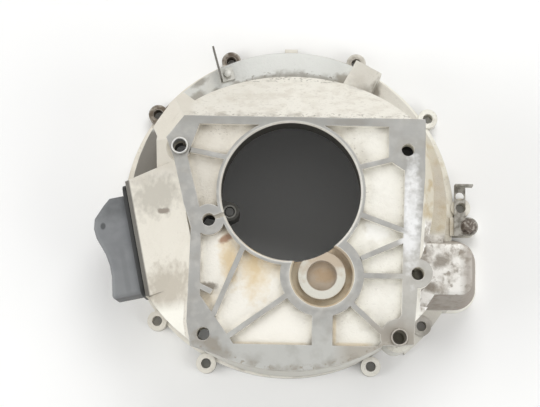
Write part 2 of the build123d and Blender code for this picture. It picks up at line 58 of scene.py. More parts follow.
# Places and sizes of the casting in millimetres, as the CAD model has them
FACE_HEIGHT = 165
PLATE_BOTTOM = 150
ROOF_HEIGHT = 55
CELL_FLOOR = 158
BORE_RADIUS = 67.5
BORE_BOTTOM = 138
RECESS_CENTRE = (31, -80.5)
SHELF_RADIUS = 140
BOLT_CIRCLE = 182
DOWEL_CENTRES = ((-108.5, 42.5), (105, -138.5))
STUD_CENTRE = (-60, -17)
STUD_SEAT = (130, 139)
LUG_BOTTOM = 116
STRAP_BOLT_CENTRE = (190, -9.5)
STRAP_TOP = 16
WINDOW_CENTRE = Vector((-156.5, -40, 66))
WINDOW_TURN = math.radians(12.3)
WINDOW_ALONG = Vector((math.sin(WINDOW_TURN), -math.cos(WINDOW_TURN), 0))
WINDOW_OUT = Vector((-math.cos(WINDOW_TURN), -math.sin(WINDOW_TURN), 0))

# Heights that marks on the casting keep to
CELL_HEIGHTS = (CELL_FLOOR - 1, CELL_FLOOR + 1)
PANEL_HEIGHTS = (60, 155)
BOSS_HEIGHTS = (-1, 15)

# Dirty spots as centre, size and turn in degrees
ROOF_BLOTS = (
    ((-104, 116), (12, 5), 42),
    ((-60, 131), (6, 4), 0),
    ((-80, 124), (5, 4), 0),
    ((-99, 134), (8, 4), 35),
)
POCKET_BLOTS = (((134, -42), (7, 5), 0), ((154, -55), (8, 6), 30), ((143, -81), (6, 5), 0))


def linear(hex_colour):
    """Turn an sRGB hex colour into linear RGBA."""
    parts = [int(hex_colour[i : i + 2], 16) / 255 for i in (0, 2, 4)]
    steps = [c / 12.92 if c <= 0.04045 else ((c + 0.055) / 1.055) ** 2.4 for c in parts]
    return (*steps, 1.0)


def add_node(tree, kind, inputs=(), **settings):
    """Add one shader node with its settings, and set or link its inputs."""
    node = tree.nodes.new(kind)
    for name, value in settings.items():
        setattr(node, name, value)
    for socket, value in dict(inputs).items():
        if isinstance(value, bpy.types.NodeSocket):
            tree.links.new(value, node.inputs[socket])
        else:
            node.inputs[socket].default_value = value
    return node


def new_material(name):
    """Make an empty node material and return it with its tree and output."""
    material = bpy.data.materials.new(name)
    material.use_nodes = True
    tree = material.node_tree
    tree.nodes.clear()
    output = add_node(tree, "ShaderNodeOutputMaterial")
    return material, tree, output


def in_millimetres(tree):
    """Give the surface point in millimetres, as one vector and as X, Y and Z."""
    spot = add_node(tree, "ShaderNodeTexCoord").outputs["Object"]
    place = add_node(tree, "ShaderNodeVectorMath", {0: spot, "Scale": 1 / MM}, operation="SCALE").outputs[0]
    parts = add_node(tree, "ShaderNodeSeparateXYZ", {0: place}).outputs
    return place, parts[0], parts[1], parts[2]


def between(tree, value, low, high, soft=0.3):
    """Mask that is on where a value lies between two limits, with soft edges."""
    rise = add_node(tree, "ShaderNodeMapRange", {0: value, 1: low - soft, 2: low + soft})
    fall = add_node(tree, "ShaderNodeMapRange", {0: value, 1: high + soft, 2: high - soft})
    inputs = {0: rise.outputs[0], 1: fall.outputs[0]}
    return add_node(tree, "ShaderNodeMath", inputs, operation="MULTIPLY").outputs[0]


def all_of(tree, *masks):
    """Mask that is on only where every given mask is on; a number thins it."""
    product = masks[0]
    for mask in masks[1:]:
        product = add_node(tree, "ShaderNodeMath", {0: product, 1: mask}, operation="MULTIPLY").outputs[0]
    return product


def any_of(tree, *masks):
    """Mask that is on where one of the given masks is on."""
    most = masks[0]
    for mask in masks[1:]:
        most = add_node(tree, "ShaderNodeMath", {0: most, 1: mask}, operation="MAXIMUM").outputs[0]
    return most


def off_where(tree, mask):
    """Mask that is on where the given mask is off."""
    return add_node(tree, "ShaderNodeMath", {0: 1.0, 1: mask}, operation="SUBTRACT").outputs[0]


def from_centre(tree, flat, centre):
    """Distance in millimetres from an upright axis, seen from above."""
    inputs = {0: flat, 1: (*centre, 0)}
    return add_node(tree, "ShaderNodeVectorMath", inputs, operation="DISTANCE").outputs["Value"]


def from_window(tree, place, direction):
    """Distance in millimetres from the fork window's centre along one direction."""
    inputs = {0: place, 1: tuple(WINDOW_CENTRE)}
    offset = add_node(tree, "ShaderNodeVectorMath", inputs, operation="SUBTRACT").outputs[0]
    inputs = {0: offset, 1: tuple(direction)}
    return add_node(tree, "ShaderNodeVectorMath", inputs, operation="DOT_PRODUCT").outputs["Value"]


def clouds(tree, size, low, high, detail=4.0, squeeze=(1, 1, 1)):
    """Uneven mask with lumps of about a given size in millimetres, cut at two levels of the noise."""
    spot = add_node(tree, "ShaderNodeTexCoord").outputs["Object"]
    drawn = add_node(tree, "ShaderNodeMapping", {0: spot, "Scale": squeeze}).outputs[0]
    inputs = {"Vector": drawn, "Scale": 1 / (size * MM), "Detail": detail}
    noise = add_node(tree, "ShaderNodeTexNoise", inputs).outputs[0]
    return add_node(tree, "ShaderNodeMapRange", {0: noise, 1: low, 2: high}).outputs[0]


def patch(tree, place, ragged, centre, size, turn=0.0, soft=0.4):
    """Mask of one spot at a given place: an ellipse seen from above, with a ragged edge."""
    middle = Vector((*centre, 0))
    if turn:
        inputs = {"Vector": place, "Center": middle, "Angle": -math.radians(turn)}
        place = add_node(tree, "ShaderNodeVectorRotate", inputs, rotation_type="Z_AXIS").outputs[0]
    shrink = Vector((1 / size[0], 1 / size[1], 0))
    inputs = {0: place, 1: shrink, 2: -middle * shrink}
    local = add_node(tree, "ShaderNodeVectorMath", inputs, operation="MULTIPLY_ADD").outputs[0]
    reach = add_node(tree, "ShaderNodeVectorMath", {0: local}, operation="LENGTH").outputs["Value"]
    uneven = add_node(tree, "ShaderNodeMath", {0: reach, 1: ragged}, operation="ADD").outputs[0]
    return add_node(tree, "ShaderNodeMapRange", {0: uneven, 1: 1 + soft, 2: 1 - soft}).outputs[0]


def laid_over(tree, colour, coats):
    """Lay coats of colour over one another, each where its mask is on."""
    for mask, coat in coats:
        tint = linear(coat) if isinstance(coat, str) else coat
        colour = add_node(tree, "ShaderNodeMix", {0: mask, 6: colour, 7: tint}, data_type="RGBA").outputs[2]
    return colour


def surface(tree, output, colour, rough, metal, height, depth, round_edge):
    """Finish a material: a shader with fine relief on softly rounded edges."""
    soft_edge = add_node(tree, "ShaderNodeBevel", {"Radius": round_edge * MM}, samples=6).outputs[0]
    inputs = {"Height": height, "Distance": depth * MM, "Strength": 1.0, "Normal": soft_edge}
    relief = add_node(tree, "ShaderNodeBump", inputs).outputs[0]
    inputs = {"Base Color": colour, "Roughness": rough, "Metallic": metal, "Normal": relief}
    shader = add_node(tree, "ShaderNodeBsdfPrincipled", inputs)
    tree.links.new(shader.outputs[0], output.inputs[0])


def turned(shape, profile, centre, segments=40):
    """Spin a profile of radius and height about an upright axis, all in millimetres."""
    points = [Vector((centre[0] + radius, centre[1], height)) for radius, height in profile]
    corners = [shape.verts.new(point * MM) for point in points]
    edges = [shape.edges.new(pair) for pair in zip(corners, corners[1:])]
    if profile[0][0] > 0:
        edges.append(shape.edges.new((corners[-1], corners[0])))
    bmesh.ops.spin(
        shape,
        geom=corners + edges,
        cent=Vector((*centre, 0)) * MM,
        axis=(0, 0, 1),
        angle=math.tau,
        steps=segments,
        use_merge=True,
    )
    bmesh.ops.remove_doubles(shape, verts=shape.verts, dist=0.01 * MM)


def rounded(shape, edges, width, segments):
    """Bevel the given edges by a width in metres."""
    bmesh.ops.bevel(
        shape, geom=edges, offset=width, segments=segments, profile=0.5, affect="EDGES", material=-1
    )


def hexagon(shape, centre, width, bottom, height, chamfer):
    """Add a hexagon head with its top edges chamfered, all in millimetres."""
    place = Matrix.Translation(Vector((*centre, bottom)) * MM)
    radius = width / math.sqrt(3) * MM
    base = bmesh.ops.create_circle(shape, cap_ends=True, segments=6, radius=radius, matrix=place)["verts"]
    made = bmesh.ops.extrude_face_region(shape, geom=list(base[0].link_faces[:1]), use_keep_orig=True)["geom"]
    top = [item for item in made if isinstance(item, bmesh.types.BMVert)]
    bmesh.ops.translate(shape, verts=top, vec=(0, 0, height * MM))
    rim = {edge for vert in top for edge in vert.link_edges if all(end in top for end in edge.verts)}
    rounded(shape, list(rim), chamfer * MM, 2)


def make_piece(shape, name, material, slot, *replaced):
    """Turn a bmesh into a piece on the body, in place of the named CAD nodes."""
    bmesh.ops.recalc_face_normals(shape, faces=shape.faces)
    mesh = bpy.data.meshes.new(name)
    shape.to_mesh(mesh)
    shape.free()
    mesh.materials.append(material)
    mesh.shade_smooth()
    mesh.set_sharp_from_angle(angle=math.radians(35))
    piece = bpy.data.objects.new(name, mesh)
    bpy.context.scene.collection.objects.link(piece)
    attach(piece, "root")
    if replaced:
        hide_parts(*replaced)


class CameraSettings(bpy.types.PropertyGroup):
    """Where the picture is taken from."""

    place: bpy.props.FloatVectorProperty(
        name="Place",
        description="Camera's place over the part",
        default=(0.00403, -0.22196, 1.44612),
        subtype="XYZ",
        unit="LENGTH",
    )
    azimuth: bpy.props.FloatProperty(
        name="Azimuth",
        description="Turn of the view about the part's height",
        default=math.radians(6.5385),
        subtype="ANGLE",
    )
    elevation: bpy.props.FloatProperty(
        name="Elevation",
        description="Height of the view over the floor",
        default=math.radians(80.6576),
        subtype="ANGLE",
    )
    roll: bpy.props.FloatProperty(
        name="Roll",
        description="Turn of the picture about the line of sight",
        default=math.radians(1.2),
        subtype="ANGLE",
    )
    lens: bpy.props.FloatProperty(
        name="Lens", description="Focal length on a 36 mm frame", default=90.0, subtype="DISTANCE_CAMERA"
    )


def colour_setting(name, description, hex_colour):
    """Describe one colour that a user may change."""
    return bpy.props.FloatVectorProperty(
        name=name, description=description, default=linear(hex_colour), size=4, subtype="COLOR", min=0, max=1
    )


class CastColours(bpy.types.PropertyGroup):
    """Colours of the aluminium casting."""

    # Left and right skin colours differ partly as painted shade on the left and painted light on the right
    cast_left: colour_setting("Cast, Left", "Oxidised cast skin on the darker left side", "E6E1D6")
    cast_right: colour_setting("Cast, Right", "Oxidised cast skin on the lighter right side", "F4F2E9")
    land: colour_setting("Land", "Machined lands of the gearbox face", "A09F9B")
    # Painted reflection on a stretch of the right land
    land_glare: colour_setting("Bright Land", "Polished stretch of the right land", "E8E8E7")
    # Dirt in the corners, which also stands in for their shade
    grime_and_shade: colour_setting("Grime", "Dirt in corners and pores", "7E776B")
    oil: colour_setting("Oil", "Oily soot inside the bell", "35332D")
    ochre: colour_setting("Ochre", "Stains under the bore", "D9C193")


class FittingColours(bpy.types.PropertyGroup):
    """Colours of the boot and the steel fittings."""

    rubber: colour_setting("Rubber", "Weathered rubber of the boot", "7B7D7F")
    lip: colour_setting("Lip", "Clean dark rubber of the boot's lip", "232423")
    steel: colour_setting("Steel", "Hardened steel of the stud and dowels", "D6D6D3")
    sheet: colour_setting("Sheet", "Dirty zinc on the strap and the clip", "A8A59D")
    rust: colour_setting("Rust", "Rust on the strap's bolt", "716860")


class FittingSizes(bpy.types.PropertyGroup):
    """Small forms of the fittings."""

    boot_edge: bpy.props.FloatProperty(
        name="Boot Edge", description="Rounding of the boot's edges", default=0.0045, unit="LENGTH"
    )
    head_chamfer: bpy.props.FloatProperty(
        name="Head Chamfer", description="Chamfer of the bolt heads", default=0.0008, unit="LENGTH"
    )
    thread_pitch: bpy.props.FloatProperty(
        name="Thread Pitch", description="Pitch of the stud's thread", default=0.0015, unit="LENGTH"
    )


class CastPoint:
    """A point of the casting as its material sees it: where it lies, how it faces and how dirty it is."""

    def __init__(self, tree):
        self.tree = tree
        self.place, self.x, self.y, self.z = in_millimetres(tree)
        self.normal = add_node(tree, "ShaderNodeNewGeometry").outputs["True Normal"]
        self.facing_up = add_node(tree, "ShaderNodeSeparateXYZ", {0: self.normal}).outputs[2]
        inputs = {0: self.place, 1: (1, 1, 0)}
        flat = add_node(tree, "ShaderNodeVectorMath", inputs, operation="MULTIPLY").outputs[0]
        self.radius = add_node(tree, "ShaderNodeVectorMath", {0: flat}, operation="LENGTH").outputs["Value"]
        outward = add_node(tree, "ShaderNodeVectorMath", {0: flat}, operation="NORMALIZE").outputs[0]
        inputs = {0: self.normal, 1: outward}
        facing = add_node(tree, "ShaderNodeVectorMath", inputs, operation="DOT_PRODUCT")
        self.facing_out = facing.outputs["Value"]
        self.from_recess = from_centre(tree, flat, RECESS_CENTRE)
        self.from_stud = from_centre(tree, flat, STUD_CENTRE)
        self.from_lip = from_window(tree, self.place, WINDOW_OUT)
        self.level = self.within(facing_up=(0.9, 2, 0.04))
        self.upright = self.within(facing_up=(-0.5, 0.5, 0.05))

        # Edges of spots wander by up to 0.45 of their size
        noise = clouds(tree, 7, 0.25, 0.75, detail=5)
        inputs = {0: noise, 1: 0.9, 2: -0.45}
        self.ragged = add_node(tree, "ShaderNodeMath", inputs, operation="MULTIPLY_ADD").outputs[0]
        self.lumps = clouds(tree, 42, 0.40, 0.66)
        self.streaks = clouds(tree, 14, 0.48, 0.70, detail=6)
        self.pores = clouds(tree, 2.4, 0.60, 0.68, detail=3)
        self.pore_gate = clouds(tree, 26, 0.45, 0.62)
        self.speckles = clouds(tree, 3.2, 0.56, 0.66, detail=5)

    def within(self, **spans):
        """Mask that is on where each named measure lies between two values; a third is the softness."""
        return self.both(*(between(self.tree, getattr(self, name), *span) for name, span in spans.items()))

    def spot(self, centre, size, turn=0.0, soft=0.4):
        """Mask of one ragged spot seen from above."""
        return patch(self.tree, self.place, self.ragged, centre, size, turn, soft)

    def both(self, *masks):
        """Mask that is on where all the given masks are on; a number thins it."""
        return all_of(self.tree, *masks)

    def dirt(self):
        """Mask of streaks and speckles together."""
        return any_of(self.tree, self.streaks, self.speckles)


# Each function with coats gives pairs of a mask and a colour, the lowest coat first. A mask is made just
# before it is used, because the renderer can hold only a few values of a material at a time.


def skin_coats(cast, colours):
    """Cast skin: paler to the right, partly as painted light from that side, with lumps, streaks and pores,
    and the marks of each side.
    """
    # Paler towards the right: partly the skin's tone, partly painted light from the right
    left_to_right = add_node(cast.tree, "ShaderNodeMapRange", {0: cast.x, 1: -70.0, 2: 95.0}).outputs[0]
    yield left_to_right, tuple(colours.cast_right)
    yield cast.both(cast.lumps, 0.45), "CDC7BA"
    yield cast.both(cast.streaks, 0.40), "BFB7A8"
    yield cast.both(cast.pores, cast.pore_gate, 0.55), "8F8778"
    for coats in (cell_coats, roof_coats, left_side_coats, right_side_coats, foot_coats):
        yield from coats(cast)


def cell_coats(cast):
    """Cells of the face: dull at the upper left, pale at the right and along the bottom."""
    yield cast.both(cast.spot((-86, 8), (20, 34)), 0.4), "CFCABF"
    yield cast.both(cast.spot((85, -35), (11, 9)), cast.within(z=CELL_HEIGHTS), 0.9), "FFFFFD"
    yield cast.both(cast.within(y=(-160, -40, 8), x=(-90, 40, 10), z=CELL_HEIGHTS), 0.85), "F8F5EC"
    yield cast.both(cast.within(x=(75, 110, 6), z=CELL_HEIGHTS), 0.5), "FAF8F0"


def roof_coats(cast):
    """Roof over the top, paler and bluer than the rest, and the slope above it with painted light from the
    top.
    """
    roof = cast.both(cast.within(z=(ROOF_HEIGHT - 1, ROOF_HEIGHT + 1)), cast.level)
    slope = cast.within(y=(73.5, 170), z=(58, 155.5), facing_up=(0.2, 0.88, 0.05))
    yield cast.both(roof, cast.within(y=(104, 200, 6), x=(-88, 84, 6)), 0.85), "DCDEDB"
    yield cast.both(roof, cast.within(x=(84, 170, 6)), 0.7), "CFCAC0"
    yield cast.both(roof, cast.within(x=(-170, -88, 6)), 0.8), "D3D5D2"
    # Painted light on the slope that faces the top, paler at the right
    yield cast.both(slope, cast.within(x=(-30, 140, 30)), 0.85), "ECE8DD"
    yield cast.both(slope, cast.within(x=(-140, -30, 30)), 0.8), "E4E0D5"
    yield cast.both(slope, cast.streaks, 0.45), "CFC7B8"
    yield cast.both(slope, cast.speckles, 0.22), "A69D8F"
    # Dirt under the edge of the face and along the foot of the slope, and painted shade with dirt along the
    # roof's inner edge
    yield cast.both(cast.within(y=(73, 82, 3), z=(138, 156.5)), cast.dirt(), 0.8), "A39D92"
    roof_edge = cast.within(radius=(SHELF_RADIUS - 1, SHELF_RADIUS + 9, 2.5))
    yield cast.both(roof, roof_edge, cast.dirt()), "8D887D"
    wall_foot = cast.within(radius=(SHELF_RADIUS - 8, SHELF_RADIUS + 1, 2), z=(58, 76), y=(60, 145, 4))
    yield cast.both(wall_foot, cast.dirt(), 0.9), "958F84"
    # Painted shade along the roof's inner edge, under the step
    roof_line = cast.within(radius=(SHELF_RADIUS - 1, SHELF_RADIUS + 6, 1.5), x=(-115, 90, 6))
    yield cast.both(roof, roof_line, 0.8), "A3A098"
    # Greyer cast block on the roof, with painted shadow beside it under its edge
    yield cast.both(roof, cast.spot((57, 137), (13, 7), -20), 0.8), "948D80"
    # Painted shadow under the block's edge
    yield cast.both(cast.spot((77, 121), (8, 6), -30), cast.within(z=(54, 90)), 0.8), "8F887B"
    yield cast.both(cast.spot((75, 138), (22, 17), -30), cast.within(z=(60, 95)), 0.6), "BDB8AE"
    yield cast.both(cast.spot((86, 126), (5, 9), -30), cast.within(z=(54, 95)), 0.85), "8F887B"
    blots = any_of(cast.tree, *(cast.spot(*blot) for blot in ROOF_BLOTS))
    yield cast.both(blots, cast.within(z=(54, 84)), 0.75), "938D82"


def left_side_coats(cast):
    """Left side: dark trough, and the beige panel over the fork window with its half-moon mark."""
    yield cast.both(cast.within(x=(-170, -130, 2), y=(16, 82, 3), z=(40, 92, 8)), 0.9), "736E66"
    yield cast.both(cast.within(x=(-170, -95, 5), y=(-105, 14, 3), z=PANEL_HEIGHTS), 0.8), "EFEADD"
    yield cast.both(cast.spot((-121, -91), (26, 20), 10), cast.within(z=PANEL_HEIGHTS), 0.85), "C0B8A9"
    yield cast.both(cast.spot((-134, 0), (26, 18)), cast.within(z=PANEL_HEIGHTS), 0.8), "BFBAAE"
    yield cast.both(cast.spot((-126.5, -16.4), (6.5, 2.6), -4, 0.3), cast.within(z=(90, 150))), "9A9186"
    # Cream wall below the panel, and the buttress above it
    yield cast.both(cast.within(x=(-140, -80, 6), y=(-170, -110, 6), z=(20, 149)), 0.9), "FFFDF2"
    yield cast.both(cast.within(x=(-136, -100, 3), y=(22, 110, 3), z=(58, 163)), 0.8), "D8D2C5"
    # Dark line along the boot's lip: dirt in the joint and painted shadow of the gap
    yield cast.both(cast.within(from_lip=(-4.6, 1, 0.8), z=(60, 106), y=(-98, 20)), 0.85), "44423E"


def right_side_coats(cast):
    """Right side: yellowed wall above the strap, brown-spotted starter pocket, dull low flange."""
    wall = {"x": (128, 185, 5), "y": (-24, 76, 8), "z": (13, 163, 6)}
    yield cast.both(cast.within(**wall), 0.8), "CFC7B3"
    yield cast.both(cast.within(**wall), cast.streaks, 0.9), "BFAB84"
    yield cast.both(cast.within(x=(146, 185, 6), y=(-24, 60, 8), z=(13, 163, 6)), cast.lumps, 0.7), "C3BBB0"
    pocket = cast.within(x=(124, 260, 2), y=(-112, -24, 2), z=(12.5, 149))
    yield cast.both(pocket, 0.95), "FFFDF8"
    yield cast.both(pocket, clouds(cast.tree, 13, 0.47, 0.66, detail=6), 0.85), "A69D90"
    yield cast.both(pocket, clouds(cast.tree, 7, 0.55, 0.68, detail=5), 0.8), "8E8374"
    blots = any_of(cast.tree, *(cast.spot(*blot) for blot in POCKET_BLOTS))
    yield cast.both(pocket, blots, 0.85), "91887C"
    yield cast.both(pocket, cast.within(x=(177, 260, 4)), 0.75), "A69D93"
    yield cast.both(pocket, cast.upright, 0.85), "978E84"
    yield cast.both(cast.within(x=(90, 175, 4), y=(-150, -104, 4), z=(0, 92)), 0.8), "B4B0A9"


def foot_coats(cast):
    """Pale bosses of the flange, painted shade and dirt on the bell's wall along the bottom, and dark brown
    spots on the bosses at the top.
    """
    yield cast.both(cast.within(y=(-190, -60), z=(-1, 14)), 0.7), "F6F3EA"
    # Painted shade on the bell's wall that faces the bottom, away from the light
    yield cast.both(cast.upright, cast.within(y=(-180, -140, 4)), 0.7), "BBBAB3"
    rim_low = cast.within(y=(-180, -150, 4), z=(138, 180, 16))
    yield cast.both(cast.upright, rim_low, cast.dirt(), 0.8), "8F887B"
    # Dark brown spots round the holes of the bosses at the top
    yield cast.both(cast.spot((-68.2, 168.7), (12, 12)), cast.within(z=BOSS_HEIGHTS)), "5C5146"
    yield cast.both(cast.spot((-146.3, 108.3), (12, 12)), cast.within(z=BOSS_HEIGHTS)), "63584B"
    yield cast.both(cast.spot((68.2, 168.7), (11, 9)), cast.within(z=BOSS_HEIGHTS), 0.7), "857C70"
    yield cast.both(cast.spot((151.7, -126), (14, 10), -40), cast.within(z=(-1, 40)), 0.6), "8E887E"


def land_coats(cast, colours):
    """Machined lands: cutter-dull grey, with a painted reflection on a stretch at the right and dirt at the
    bottom.
    """
    yield cast.both(clouds(cast.tree, 30, 0.42, 0.62), 0.45), "AFAEAA"
    yield cast.both(clouds(cast.tree, 11, 0.46, 0.66, detail=5), 0.5), "BCBAB4"
    yield cast.both(cast.within(y=(62, 85, 8), x=(-110, 80, 8)), 0.6), "8F8E89"
    yield cast.both(cast.within(y=(-180, -128, 12), x=(-60, 90, 15)), 0.85), "BCBCB7"
    yield cast.both(cast.within(y=(-125, -50, 15), x=(95, 140, 4)), 0.7), "BFBCB4"
    yield cast.both(cast.within(y=(-180, -125, 10), x=(50, 140, 8)), 0.8), "A69F93"
    yield cast.both(cast.within(y=(45, 80, 10), x=(80, 140, 8)), 0.5), "A8A7A3"
    # Painted reflection along a stretch of the right land
    yield cast.spot((116, -18), (7, 46), 0, 0.5), tuple(colours.land_glare)
    yield cast.both(cast.spot((110, -47), (6, 9), 30, 0.5), 0.8), tuple(colours.land_glare)
    yield cast.both(cast.spot((-72, -149), (19, 6), -32), 0.8), "8F887C"
    yield cast.both(cast.within(radius=(166.5, 175, 1.5), y=(-180, -140, 5)), cast.dirt(), 0.8), "938B7D"
    yield cast.both(cast.spot((100, -137), (24, 16)), cast.streaks, 0.8), "9F968A"
    yield cast.both(cast.within(from_recess=(29, 33, 2), y=(-130, -72, 6)), 0.5), "D5D3CC"
    yield cast.both(cast.spot((56, 68.5), (14, 4)), 0.7), "8D8A83"
    yield cast.both(cast.streaks, 0.45), "96928A"
    # Painted highlight along the edge of the bore
    yield cast.within(radius=(BORE_RADIUS - 0.5, BORE_RADIUS + 1.9, 0.7)), "D9D7D0"


def recess_coats(cast):
    """Bearing recess: rust-brown groove round a paler raised ring with painted shade over its upper part, and
    brown again in the middle.
    """
    groove = (22.7, 32, 0.5)
    yield cast.within(from_recess=groove), "C6BAA3"
    yield cast.both(cast.within(from_recess=groove), cast.streaks, 0.7), "BE9F76"
    yield cast.within(from_recess=(-1, 14.8, 0.5)), "B8AA98"
    # Painted shade over the upper part of the raised ring
    yield cast.both(cast.spot((36, -67), (24, 14), 20), 0.85), "BCAA93"
    yield cast.both(cast.spot((34, -80), (8, 6)), 0.7), "AF9575"


def stain_coats(cast, colours):
    """Ochre run marks, brown spots and a painted shadow on the floors of the cells under the bore."""
    on_floor = cast.within(z=(CELL_FLOOR - 1, FACE_HEIGHT - 0.6))
    runs = any_of(
        cast.tree,
        cast.both(cast.spot((-58.5, -66), (7, 20), 8, 0.6), 0.75),
        cast.both(cast.spot((-34, -72), (11, 25), 4, 0.7), 0.8),
        cast.both(cast.spot((-77.9, -107), (9, 8), 0, 0.7), 0.3),
        cast.both(cast.spot((-30, -66), (22, 8), -25, 0.8), 0.55),
        cast.both(cast.within(y=(-148, -144.2, 0.8), x=(42, 78, 5)), 0.4),
        cast.both(cast.within(x=(41, 45.2, 0.8), y=(-148, -120, 5)), 0.4),
        cast.both(cast.within(y=(-148, -145, 0.8), x=(-52, 20, 6)), 0.3),
    )
    yield cast.both(runs, on_floor), tuple(colours.ochre)
    # Painted shadow of a small wedge in the lower-left cell
    yield cast.both(cast.spot((-78.3, -92.5), (8.5, 4.4), 0, 0.3), on_floor), "9F988D"
    yield cast.both(cast.spot((-61, -45.5), (7, 3.2), 30, 0.4), on_floor), "AA8C76"
    yield cast.both(cast.spot((-70, -36), (9, 5), 20, 0.5), on_floor, 0.6), "B7B0A6"


def sooty_inside(cast):
    """Mask of the bell's inside: the space under the face plate, and what else looks inwards or down."""
    under_plate = cast.within(z=(-5, PLATE_BOTTOM - 0.6, 0.2))
    core = cast.both(cast.within(x=(-94, 118), y=(-140, 71), radius=(0, 163.5)), under_plate)
    inward = cast.both(cast.within(facing_out=(-2, -0.2, 0.03), radius=(60, 163)), under_plate)
    not_pocket = off_where(cast.tree, cast.within(x=(118, 260), y=(-112, -20)))
    downward = cast.within(facing_up=(-2, -0.2, 0.03), z=(1, PLATE_BOTTOM - 0.6, 0.2), radius=(0, 162))
    bore_wall = cast.within(radius=(0, BORE_RADIUS + 0.4), z=(BORE_BOTTOM - 5, FACE_HEIGHT - 2))
    not_outer = off_where(cast.tree, cast.within(facing_out=(0.15, 2, 0.03), radius=(125, 300)))
    return any_of(cast.tree, cast.both(core, not_outer), cast.both(inward, not_pocket), downward, bore_wall)


def wear_coats(cast, colours, inside):
    """Rubbed edges, dirt and painted shade in the corners and bolt holes, and soot inside, over everything
    else.
    """
    # Sharp corners are rubbed paler
    softened = add_node(cast.tree, "ShaderNodeBevel", {"Radius": 1.8 * MM}, samples=6).outputs[0]
    inputs = {0: softened, 1: cast.normal}
    bend = add_node(cast.tree, "ShaderNodeVectorMath", inputs, operation="DOT_PRODUCT").outputs["Value"]
    rubbed = add_node(cast.tree, "ShaderNodeMapRange", {0: bend, 1: 0.985, 2: 0.86}).outputs[0]
    yield cast.both(rubbed, cast.pore_gate, 0.6), "E6E4DD"
    # Dirt and painted shade lie over the corners that close in, most of all in the streaks
    shelter = add_node(cast.tree, "ShaderNodeAmbientOcclusion", {"Distance": 7 * MM}, samples=8).outputs["AO"]
    corner_dirt_and_shade = add_node(cast.tree, "ShaderNodeMapRange", {0: shelter, 1: 0.80, 2: 0.35}).outputs[0]
    dirt_amount = add_node(cast.tree, "ShaderNodeMapRange", {0: cast.streaks, 3: 0.25, 4: 0.85}).outputs[0]
    yield cast.both(corner_dirt_and_shade, dirt_amount), tuple(colours.grime_and_shade)
    # Painted shade on the walls of the flange's bosses and bolt holes
    bosses = cast.both(cast.upright, cast.within(z=(-1, 13.5), radius=(BOLT_CIRCLE - 10, BOLT_CIRCLE + 13)))
    yield cast.both(bosses, 0.3), "6E685E"
    yield inside, tuple(colours.oil)
    # Ring of bare metal round the stud's thread
    yield cast.within(from_stud=(4, 6.6, 0.3), z=STUD_SEAT), "77756F"


class BELL_OT_housing(bpy.types.Operator):
    """Give the casting its worn, stained and partly machined aluminium"""

    bl_idname = "bell.housing"
    bl_label = "Housing"

    def execute(self, context):
        colours = context.scene.bell_cast
        # Sand-cast aluminium, oxidised: chalky cream skin with dirt in its pores and corners, bare grey
        # metal where it is machined, and soot and oil inside.
        material, tree, output = new_material("sand_cast_aluminium_oxidised")
        cast = CastPoint(tree)
        colour = laid_over(tree, tuple(colours.cast_left), skin_coats(cast, colours))
        land = cast.both(cast.within(z=(FACE_HEIGHT - 0.4, FACE_HEIGHT + 5, 0.15)), cast.level)
        land_colour = laid_over(tree, tuple(colours.land), land_coats(cast, colours))
        recess = cast.within(from_recess=(-1, 31), z=(PLATE_BOTTOM + 1, FACE_HEIGHT - 0.4))
        recess_colour = laid_over(tree, linear("D9D7CC"), recess_coats(cast))
        colour = laid_over(tree, colour, stain_coats(cast, colours))
        colour = laid_over(tree, colour, [(recess, recess_colour), (land, land_colour)])
        inside = sooty_inside(cast)
        colour = laid_over(tree, colour, wear_coats(cast, colours, inside))
        matt = add_node(tree, "ShaderNodeMapRange", {0: land, 3: 0.78, 4: 0.5}).outputs[0]
        rough = add_node(tree, "ShaderNodeMix", {0: inside, 2: matt, 3: 0.6}).outputs[0]
        metal = cast.both(land, 0.2)

        # Sand grain of about 1 mm on the cast skin, with softer lumps; the lands have only fine cutter marks
        grain = clouds(tree, 1.3, 0.2, 0.8, detail=2)
        waves = clouds(tree, 6, 0.3, 0.7, detail=3)
        inputs = {0: waves, 1: 1.2, 2: grain}
        cast_relief = add_node(tree, "ShaderNodeMath", inputs, operation="MULTIPLY_ADD").outputs[0]
        cutter_marks = cast.both(clouds(tree, 0.9, 0.3, 0.7, detail=1, squeeze=(0.04, 1, 1)), 0.12)
        relief = add_node(tree, "ShaderNodeMix", {0: land, 2: cast_relief, 3: cutter_marks}).outputs[0]
        surface(tree, output, colour, rough, metal, relief, depth=0.22, round_edge=1.3)
        NODES["housing"].data.materials.clear()
        NODES["housing"].data.materials.append(material)
        return {"FINISHED"}


def boot_rubber(colours):
    """Chloroprene rubber, moulded and weathered: dull slate grey with dust, still black along its lip."""
    material, tree, output = new_material("moulded_chloroprene_rubber")
    place, _, _, z = in_millimetres(tree)
    out = from_window(tree, place, WINDOW_OUT)
    along = from_window(tree, place, WINDOW_ALONG)
    ragged = clouds(tree, 6, 0.25, 0.75)
    dust = clouds(tree, 16, 0.40, 0.68, detail=5)
    colour = laid_over(
        tree,
        tuple(colours.rubber),
        [
            (all_of(tree, between(tree, along, -60, -26, 6), 0.8), "5E6061"),
            (all_of(tree, between(tree, along, 34, 60, 8), 0.6), "8B8D8E"),
            (all_of(tree, dust, 0.45), "909293"),
            (between(tree, z, 20, 84.5, 1.5), "58595A"),
            (all_of(tree, patch(tree, place, 0.0, (-191, -26.5), (2.6, 3.4), 0, 0.25), 0.9), "434546"),
            (
                all_of(tree, between(tree, out, 14, 19, 1.2), between(tree, along, 5, 52, 3), 0.35),
                "6E7072",
            ),
            (between(tree, out, -20, 5.2, 0.3), tuple(colours.lip)),
        ],
    )
    relief = add_node(tree, "ShaderNodeMath", {0: ragged, 1: dust}, operation="ADD").outputs[0]
    surface(tree, output, colour, 0.58, 0.0, relief, depth=0.12, round_edge=0.8)
    return material


